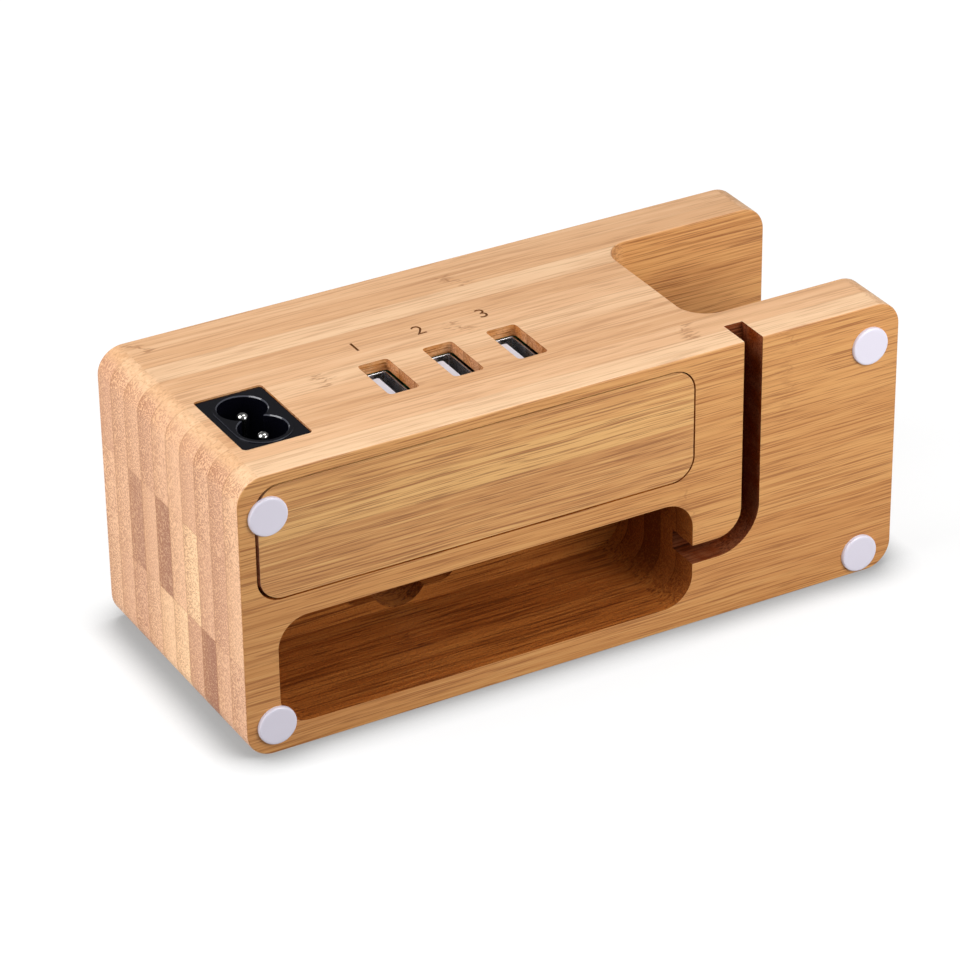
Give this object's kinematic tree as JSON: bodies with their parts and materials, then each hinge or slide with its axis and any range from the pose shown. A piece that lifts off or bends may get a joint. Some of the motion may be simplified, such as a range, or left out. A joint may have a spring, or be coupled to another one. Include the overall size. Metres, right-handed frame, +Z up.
{
  "type": "charging dock",
  "caption": "Bamboo desk dock with a leaning phone slot, a watch charging arm, charging ports, a mains inlet and a cable pocket.",
  "frame": {"origin": "middle of the footprint on the plane that the feet stand on", "axes": "+X towards the mains inlet end, +Y towards the back with the ports, +Z up"},
  "size_m": [0.145, 0.06, 0.0613],
  "materials": {
    "bamboo": "satin lacquered laminated bamboo",
    "cover_bamboo": "satin lacquered bamboo panel",
    "foot_white": "smooth white silicone",
    "inlet_black": "satin black moulding",
    "contact_metal": "bright nickel plate",
    "lead_brown": "smooth wire insulation",
    "lead_blue": "smooth wire insulation",
    "shell_steel": "bright nickel-plated sheet",
    "port_white": "smooth white moulding",
    "contact_gold": "gold flash",
    "board_green": "solder mask",
    "screw_steel": "zinc plate",
    "fuse_body": "glazed tube with metal end caps",
    "can_black": "shrink sleeve",
    "can_blue": "shrink sleeve",
    "ferrite_dark": "ferrite drum with varnished wire",
    "ferrite_grey": "sintered ferrite",
    "chip_black": "moulded epoxy",
    "disc_blue": "dipped epoxy",
    "bobbin_black": "moulded phenolic",
    "tape_yellow": "polyester tape"
  },
  "bodies": {
    "dock": {"bamboo_block": "bamboo", "foot_inlet_front": "foot_white", "foot_watch_back": "foot_white", "foot_watch_front": "foot_white", "inlet_housing": "inlet_black", "inlet_pin_live": "contact_metal", "inlet_pin_neutral": "contact_metal", "lead_live": "lead_brown", "lead_neutral": "lead_blue", "usb_shell_1": "shell_steel", "usb_shell_2": "shell_steel", "usb_shell_3": "shell_steel", "usb_tongue_1": "port_white", "usb_tongue_2": "port_white", "usb_tongue_3": "port_white", "usb_contacts_1": "contact_gold", "usb_contacts_2": "contact_gold", "usb_contacts_3": "contact_gold", "charger_board": "board_green", "board_screws": "screw_steel", "fuse": "fuse_body", "bulk_capacitor": "can_black", "input_choke": "ferrite_dark", "bridge_rectifier": "chip_black", "controller_chip": "chip_black", "y_capacitor": "disc_blue", "transformer_bobbin": "bobbin_black", "transformer_core": "ferrite_grey", "transformer_winding": "tape_yellow", "output_diode": "chip_black", "output_capacitor_1": "can_blue", "output_capacitor_2": "can_blue"},
    "cover": {"compartment_cover": "cover_bamboo", "foot_inlet_back": "foot_white"}
  },
  "joints": [
    {"name": "cover_lift", "type": "slide", "parent": "dock", "child": "cover", "axis": [0, 0, -1], "range_m": [0, 0.035]}
  ]
}
